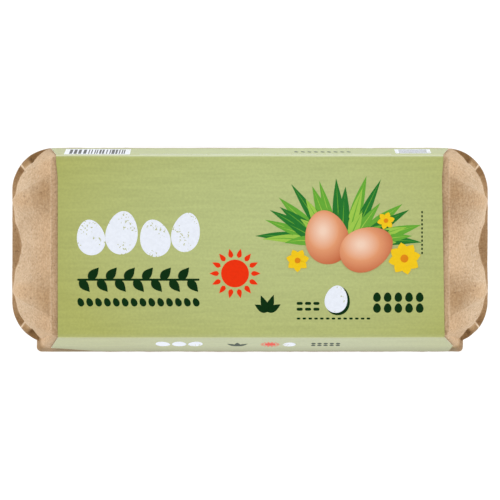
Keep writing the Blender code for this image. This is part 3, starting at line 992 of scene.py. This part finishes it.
def pulp_grain(made):
    """The pulp's own colour, and what it is made from: blotches, grain and three sets of fibres."""
    blotches = made.noise(55.0, 3.0)
    grain = made.noise(900.0, 3.0, roughness=0.65)
    tone = made.math("ADD", made.product(blotches, 0.3), made.product(grain, 0.7))
    colour = made.mix(made.ramp(tone, 0.38, 0.62), PULP_DARK, PULP_LIGHT)
    fibres = []
    for turn in (0.5, -0.9, 2.0):
        stretched = made.mapped((2600.0, 330.0, 900.0), (0.2, 0.1, turn))
        fibres.append(made.noise(1.0, 1.0, stretched))
    dark = made.ramp(made.math("MAXIMUM", fibres[0], fibres[1]), 0.66, 0.74, 0.0, 0.4)
    pale = made.ramp(made.math("MAXIMUM", fibres[1], fibres[2]), 0.64, 0.74, 0.0, 0.45)
    specks = made.ramp(made.noise(620.0, 0.0), 0.76, 0.80, 0.0, 0.55)
    for share, tint in ((dark, PULP_FIBRE), (pale, PULP_PALE_FIBRE_AND_HIGHLIGHT), (specks, PULP_FIBRE)):
        colour = made.mix(share, colour, tint)
    return colour, blotches, grain, fibres


def rim_highlight_line(made, across, from_middle):
    """1 on the line of painted highlight along the rim of each corner block."""
    turn = math.radians(RIM_DEG)
    corner_x = made.math("SUBTRACT", across, (FLANGE_LENGTH / 2 - FLANGE_CORNER) * MM)
    corner_y = made.math("SUBTRACT", from_middle, FLANGE_END * MM)
    along_y = made.product(corner_y, math.cos(turn))
    along_x = made.product(corner_x, math.sin(turn))
    at_rim = RIM_AT[1] * math.cos(turn) - RIM_AT[0] * math.sin(turn)
    beside = made.distance(made.math("SUBTRACT", along_y, along_x), at_rim)
    return made.product(made.ramp_mm(beside, *RIM_BESIDE), made.math("GREATER_THAN", corner_x, 0.0))


def pulp_material():
    """Undyed pulp with its grain in its bump; painted shade darkens it on the flanges, in their corners, in
    the valleys and on the lip under the label, and painted highlights pale the ends' outer slopes, the bead's
    crest and the corner blocks' rims.
    """
    made = Nodes("moulded_pulp", 0.65)
    made.set("Specular IOR Level", 0.4)
    made.set("Sheen Weight", 0.3)
    made.set("Sheen Roughness", 0.4)
    made.set("Sheen Tint", (1.0, 0.85, 0.6, 1.0))
    colour, blotches, grain, fibres = pulp_grain(made)
    x, y, z = made.axes(made.place)
    across = made.math("ABSOLUTE", x)
    from_middle = made.distance(y, FLANGE_MIDDLE_Y)
    uneven_z = made.math("ADD", z, made.product(made.math("SUBTRACT", blotches, 0.5), 2 * MM))
    # Painted shade: the pulp is darker low down, on the flanges and all below them.
    flange_shade = made.ramp_mm(uneven_z, *FLANGE_SHADE_Z, 0.0, 0.95)
    # Painted highlight: the outer slopes of the ends are paler and cooler, except at the bulges' tips.
    slope_highlight = made.product(
        made.ramp_mm(uneven_z, *SLOPE_HIGHLIGHT_Z),
        made.ramp_mm(across, *SLOPE_HIGHLIGHT_X),
        made.ramp_mm(made.distance(from_middle, BULGE_AT), *SLOPE_HIGHLIGHT_FROM_TIP),
        made.ramp_mm(from_middle, *SLOPE_HIGHLIGHT_Y),
    )
    # Painted shade: high up in the valley beside each bulge of the ends.
    valley_shade = made.product(
        made.ramp_mm(made.distance(from_middle, VALLEY_AT), *VALLEY_BESIDE),
        made.ramp_mm(across, *VALLEY_OUTER_X),
        made.ramp_mm(across, *VALLEY_INNER_X),
        made.ramp_mm(z, *VALLEY_Z),
    )
    # Painted shade: darker again low down towards the front and the back, over the flanges' corners and the
    # lobes.
    corner_shade = made.product(made.ramp_mm(uneven_z, *CORNER_Z), made.ramp_mm(from_middle, *CORNER_Y))
    colour = made.toned(flange_shade, colour, FLANGE_SHADE)
    colour = made.toned(slope_highlight, colour, SLOPE_HIGHLIGHT)
    colour = made.toned(valley_shade, colour, VALLEY_SHADE)
    colour = made.toned(corner_shade, colour, CORNER_SHADE)
    # Painted highlight: a pale line along the rim of each corner block.
    rim = made.product(
        rim_highlight_line(made, across, from_middle),
        made.ramp_mm(uneven_z, *RIM_Z),
        made.ramp(grain, 0.35, 0.55, 0.55, 0.9),
        made.math("GREATER_THAN", z, LEDGE_Z * MM),
    )
    # Painted highlight: a pale line along the bead's crest.
    crest_highlight = made.product(
        made.ramp_mm(made.distance(across, CREST_HIGHLIGHT_X), *CREST_HIGHLIGHT_BESIDE),
        made.ramp_mm(z, *CREST_HIGHLIGHT_Z),
        made.ramp(grain, 0.35, 0.55, 0.1, 0.32),
    )
    # Both painted highlights are laid on in the pale fibres' colour.
    for share in (rim, crest_highlight):
        colour = made.mix(share, colour, PULP_PALE_FIBRE_AND_HIGHLIGHT)
    # Painted shadow: the front lip just under the label's lower edge is dark.
    label_shadow = made.product(
        made.ramp_mm(y, *LABEL_SHADOW_Y, 0.0, 0.9),
        made.ramp_mm(uneven_z, *LABEL_SHADOW_Z),
        made.ramp_mm(x, *LABEL_SHADOW_LEFT),
        made.ramp_mm(x, *LABEL_SHADOW_RIGHT),
    )
    colour = made.toned(label_shadow, colour, LABEL_SHADOW)
    made.bump(made.math("ADD", made.product(grain, 0.7), made.product(fibres[2], 0.3)), 0.36)
    return made.finish(colour)


def coated(made):
    """The thin satin varnish over the print."""
    made.set("Specular IOR Level", 0.3)
    made.set("Coat Weight", 0.5)
    made.set("Coat Roughness", 0.18)
    made.bump(made.noise(260.0, 2.0), 0.03)
    return made


def ink_material(name, colour):
    """A printed colour: slightly uneven, and the white worn through to the green in small flecks."""
    made = coated(Nodes(name, 0.45))
    made.set("Specular IOR Level", 0.1)
    made.set("Coat Weight", 0.15)
    uneven = made.ramp(made.noise(700.0, 2.0), 0.35, 0.65)
    darker = (*[part * 0.95 for part in colour[:3]], 1.0)
    printed = made.mix(uneven, darker, colour)
    if name == "print_white":
        patches = made.ramp(made.noise(130.0, 1.0), 0.42, 0.62, 0.8, 1.12)
        flecks = made.product(made.noise(900.0, 1.0), patches)
        printed = made.mix(made.ramp(flecks, 0.66, 0.69, 0.0, 0.8), printed, LABEL_GREEN)
    return made.finish(printed)


LABEL_GREEN = srgb(178, 182, 101)
LABEL_GLOW = srgb(190, 200, 134)
GLOW_AT = (16.0, 15.0)
GLOW_REACH = (110.0, 75.0)
SHADED_GREEN = (0.62, 0.60, 0.46, 1.0)  # painted shade: how much darker it is along its lower edges
SHADED_BELOW = (17.0, 29.0)
BACK_PANEL_SHADE = (0.74, 0.82, 0.52, 1.0)  # painted shade, darker and deeper green, on the back panel
FRONT_PANEL_REFLECTION = (0.93, 0.95, 1.3, 1.0)  # painted reflection that makes the front panel paler and cooler
FOLD_BELOW = (1.0, 2.5)  # where the top's colour gives way to the panels'
# A painted highlight along the back fold, where the paper turns down
FOLD_HIGHLIGHT = srgb(238, 244, 222)


def paper_material():
    """The label's printed green, a little lighter and cooler towards its middle, with painted shade on the
    back panel and along the lower edges, a painted reflection on the front panel and a painted highlight
    along the back fold.
    """
    made = coated(Nodes("label_green", 0.45))
    x, y, z = made.axes(made.place)
    along = made.math("DIVIDE", made.math("SUBTRACT", x, GLOW_AT[0] * MM), GLOW_REACH[0] * MM)
    away = made.math("DIVIDE", made.math("SUBTRACT", y, GLOW_AT[1] * MM), GLOW_REACH[1] * MM)
    from_glow = made.math("ADD", made.product(along, along), made.product(away, away))
    green = made.mix(made.ramp(from_glow, 0.0, 1.3, 1.0, 0.0), LABEL_GREEN, LABEL_GLOW)
    uneven = made.ramp(made.noise(800.0, 3.0), 0.35, 0.65, 0.92, 1.0)
    streaks = made.ramp(made.noise(1.0, 2.0, made.mapped((45.0, 620.0, 260.0))), 0.3, 0.7, 0.955, 1.045)
    for share in (uneven, streaks):
        green = made.mix(1.0, green, share, "MULTIPLY")
    below = made.math("SUBTRACT", PANEL_Z * MM, z)
    at_back = made.math("GREATER_THAN", y, 0.0)
    at_front = made.math("SUBTRACT", 1.0, at_back)
    # Painted shade on the back panel.
    green = made.toned(made.product(at_back, made.ramp_mm(below, *FOLD_BELOW, 0.0, 0.8)), green, BACK_PANEL_SHADE)
    # Painted reflection on the front panel.
    green = made.toned(made.product(at_front, made.ramp_mm(below, *FOLD_BELOW)), green, FRONT_PANEL_REFLECTION)
    # Painted shade along the label's lower edges.
    green = made.toned(made.ramp_mm(below, *SHADED_BELOW), green, SHADED_GREEN)
    # Painted highlight along the back fold.
    fold_highlight = made.product(made.ramp_mm(below, -0.3, 0.0, 0.0, 0.5), made.ramp_mm(below, 1.0, 0.5), at_back)
    return made.finish(made.mix(fold_highlight, green, FOLD_HIGHLIGHT))


def bare_paper_material():
    made = Nodes("bare_paper", 0.8)
    made.bump(made.noise(500.0, 2.0), 0.03)
    return made.finish(made.mix(made.noise(300.0, 2.0), srgb(206, 208, 190), srgb(226, 228, 212)))


def egg_material():
    """A brown egg's shading across its printed shape: pale where light falls, deeper towards its edge."""
    made = coated(Nodes("printed_egg", 0.45))
    across, up, _ = made.axes(made.node("TexCoord").outputs["Generated"])
    across = made.math("SUBTRACT", across, 0.40)
    up = made.math("SUBTRACT", up, 0.62)
    away = made.math("SQRT", made.math("ADD", made.product(across, across), made.product(up, up)))
    colour = made.mix(made.ramp(away, 0.05, 0.36), srgb(250, 214, 190), srgb(233, 158, 112))
    colour = made.mix(made.ramp(away, 0.34, 0.68), colour, srgb(196, 96, 52))
    return made.finish(colour)


def floor_material():
    made = Nodes("floor", 0.9)
    made.set("Emission Color", (1.0, 1.0, 1.0, 1.0))
    made.set("Emission Strength", FLOOR_GLOW)
    return made.finish(made.mix(made.noise(3.0), (0.24, 0.24, 0.24, 1.0), (0.26, 0.26, 0.26, 1.0)))


INK_COLOURS = {
    "white": srgb(240, 245, 255),
    "dark_green": srgb(2, 46, 8),
    "red": srgb(242, 50, 4),
    "leaf_light": srgb(160, 204, 78),
    "leaf": srgb(104, 174, 56),
    "leaf_dark": srgb(38, 122, 46),
    "yellow": srgb(248, 205, 26),
    "orange": srgb(228, 138, 20),
    "ink": srgb(52, 60, 56),
}


def place_pieces():
    """Makes every piece, gives it its finish and sets it on the model's one body."""
    pulp = pulp_material()
    for piece in (make_lid(), make_tray()):
        piece.data.materials.clear()
        piece.data.materials.append(pulp)
        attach(piece, "root")
        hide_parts("carton")
    label = make_label()
    label.data.materials.append(paper_material())
    label.data.materials.append(bare_paper_material())
    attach(label, "root")
    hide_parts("label")
    eggs = [
        printed_egg("printed_egg_left", 39.5, 4.5, 22.5, 28.0, 12.0, 8),
        printed_egg("printed_egg_right", 60.0, -1.5, 22.0, 28.5, -64.0, 10),
    ]
    print_title_eggs()
    print_garland()
    print_sun(-7.7, -14.2, 12.8)
    print_small_marks()
    print_leaves()
    print_flowers()
    print_back_panel()
    print_front_panel()
    shaded = egg_material()
    for piece in eggs:
        piece.data.materials.append(shaded)
    inlays = []
    for name, mesh in INKS.items():
        inlay = new_object("print_" + name, mesh)
        inlay.data.materials.append(ink_material("print_" + name, INK_COLOURS[name]))
        inlays.append(inlay)
    for piece in eggs + inlays:
        piece.data.set_sharp_from_angle(angle=math.radians(SHARP_DEG))
        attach(piece, "root")


def make_camera():
    """Straight above the lid, at the height and framing of the photograph."""
    data = bpy.data.cameras.new("camera")
    data.sensor_width = SENSOR
    to_flange = CAMERA_HEIGHT + PANEL_Z - LEDGE_Z
    data.lens = PIXELS_PER_MM * to_flange / FRAME_PIXELS * SENSOR
    camera = in_scene("camera", data)
    below = (FRAME_PIXELS / 2 - FLANGE_PIXEL_Y) / PIXELS_PER_MM
    camera.location = (0.0, (FLANGE_MIDDLE_Y - below) * MM, (PANEL_Z + CAMERA_HEIGHT) * MM)
    bpy.context.scene.camera = camera


def make_light(name, azimuth, width, radiance):
    """A soft box at a compass angle round the object, level with its side and turned towards it."""
    data = bpy.data.lights.new(name, "AREA")
    data.shape = "RECTANGLE"
    data.size = width
    data.size_y = SOFTBOX_DEPTH
    data.energy = radiance * math.pi * width * SOFTBOX_DEPTH
    light = in_scene(name, data)
    angle = math.radians(azimuth)
    light.location = (LIGHT_DISTANCE * math.cos(angle), LIGHT_DISTANCE * math.sin(angle), SOFTBOX_HEIGHT)
    towards = Vector((0.0, 0.0, PANEL_Z * MM)) - light.location
    light.rotation_euler = towards.to_track_quat("-Z", "Y").to_euler()


def make_studio():
    """A wide pale floor that glows a little, a dim soft sky and bright soft boxes low on three sides."""
    mesh = bmesh.new()
    bmesh.ops.create_grid(mesh, x_segments=1, y_segments=1, size=FLOOR_REACH)
    floor = new_object("floor", mesh)
    floor.location.z = -FLOOR_DROP
    floor.data.materials.append(floor_material())
    world = bpy.data.worlds.new("studio")
    world.use_nodes = True
    nodes, links = world.node_tree.nodes, world.node_tree.links
    split = nodes.new("ShaderNodeSeparateXYZ")
    links.new(nodes.new("ShaderNodeTexCoord").outputs["Generated"], split.inputs["Vector"])
    by_height = nodes.new("ShaderNodeValToRGB")
    stops = by_height.color_ramp.elements
    for height, share in SKY_BY_HEIGHT:
        if height in (0.0, 1.0):
            stop = stops[0 if height == 0.0 else -1]
        else:
            stop = stops.new(height)
        stop.color = (share, share, share, 1.0)
    links.new(split.outputs["Z"], by_height.inputs["Fac"])
    links.new(by_height.outputs["Color"], nodes["Background"].inputs["Color"])
    nodes["Background"].inputs["Strength"].default_value = SKY_STRENGTH
    bpy.context.scene.world = world
    make_light("right_softbox", 0.0, SIDE_WIDTH, SIDE_RADIANCE)
    make_light("back_softbox", 90.0, BACK_WIDTH, BACK_RADIANCE)
    make_light("left_softbox", 180.0, SIDE_WIDTH, SIDE_RADIANCE)
    bpy.context.scene.view_settings.view_transform = "Standard"


make_camera()
make_studio()
place_pieces()
